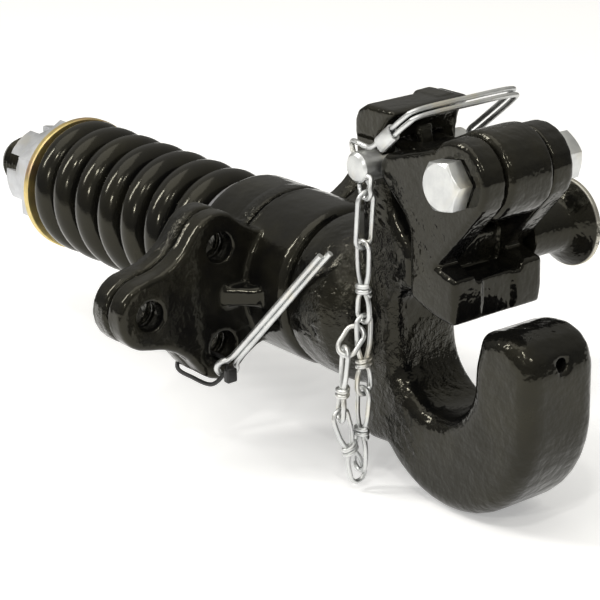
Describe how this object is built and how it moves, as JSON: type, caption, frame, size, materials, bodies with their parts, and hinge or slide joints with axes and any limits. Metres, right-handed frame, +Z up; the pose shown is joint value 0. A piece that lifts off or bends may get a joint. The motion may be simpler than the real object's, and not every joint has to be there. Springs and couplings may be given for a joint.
{
  "type": "pintle hook",
  "caption": "Swivel pintle hook with a spring-cushioned shank, a two-part bolt flange, a hinged latch with a lift knob, and a lock lever held by a wire-bail safety pin on a chain.",
  "frame": {"origin": "on the shank axis, in the parting plane of the two flanges, where a vehicle's crossmember plate is clamped", "axes": "+X along the shank towards the hook's tip, +Y to the lift knob's side, +Z up towards the lock lever"},
  "size_m": [0.5108, 0.253, 0.2141],
  "materials": {
    "housing_enamel": "thick gloss black enamel on a casting",
    "forging_enamel": "thick gloss black enamel on a forging",
    "latch_enamel": "thick gloss black enamel on a forging",
    "knob_enamel": "gloss black enamel, worn bright on the rim",
    "lever_enamel": "thick gloss black enamel on a casting",
    "spring_enamel": "satin black enamel",
    "zinc": "bright zinc plate",
    "yellow_zinc": "yellow passivated zinc plate",
    "bush_bronze": "plain turned bronze",
    "plain_steel": "oiled plain steel",
    "nylon": "black nylon"
  },
  "bodies": {
    "mount": {"front_housing": "housing_enamel", "rear_housing": "housing_enamel", "front_bush": "bush_bronze", "rear_bush": "bush_bronze", "cotter_pin": "zinc", "cable_tie": "nylon", "tie_head": "nylon"},
    "spring_pack": {"spring_seat_washer": "plain_steel", "cushion_spring": "spring_enamel"},
    "hook": {"hook_body": "forging_enamel", "end_washer": "yellow_zinc", "castle_nut": "zinc", "hinge_bolt": "zinc", "hinge_nut": "zinc", "lock_spring": "plain_steel", "safety_pin": "zinc", "chain_eye": "zinc"},
    "latch": {"latch": "latch_enamel", "latch_knob": "knob_enamel"},
    "lock": {"lock_lever": "lever_enamel"},
    "bail": {"bail_wire": "zinc", "bail_ferrule": "zinc"},
    "chain_top": {"chain_link_1": "zinc"},
    "chain_bight": {"chain_link_2": "zinc", "chain_link_3": "zinc", "chain_link_4": "zinc", "chain_link_5": "zinc", "chain_link_6": "zinc", "chain_link_7": "zinc"}
  },
  "joints": [
    {"name": "swivel", "type": "hinge", "parent": "mount", "child": "spring_pack", "pos_m": [0, 0, 0], "axis": [1, 0, 0], "continuous": true},
    {"name": "cushion_slide", "type": "slide", "parent": "spring_pack", "child": "hook", "axis": [1, 0, 0], "range_m": [0, 0.012], "stiffness_N_per_m": 150000, "springref_m": -0.01, "deforming": ["cushion_spring"]},
    {"name": "latch_hinge", "type": "hinge", "parent": "hook", "child": "latch", "pos_m": [0.1663, 0, 0.0911], "axis": [0, -1, 0], "range_deg": [0, 75]},
    {"name": "lock_tilt", "type": "hinge", "parent": "hook", "child": "lock", "pos_m": [0.1, 0, 0.086], "axis": [0, -1, 0], "range_deg": [0, 12], "stiffness_Nm_per_rad": 1.5, "springref_deg": -14.32},
    {"name": "bail_swing", "type": "hinge", "parent": "hook", "child": "bail", "pos_m": [0.1, -0.0334, 0.086], "axis": [0.6428, 0, -0.766], "range_deg": [0, 120]},
    {"name": "chain_swing", "type": "hinge", "parent": "hook", "child": "chain_top", "pos_m": [0.10874, -0.0374, 0.07558], "axis": [0, -1, 0], "range_deg": [0, 30]},
    {"name": "chain_bend", "type": "hinge", "parent": "chain_top", "child": "chain_bight", "pos_m": [0.10577, -0.0374, 0.04731], "axis": [-1, 0, 0], "range_deg": [0, 30]}
  ]
}
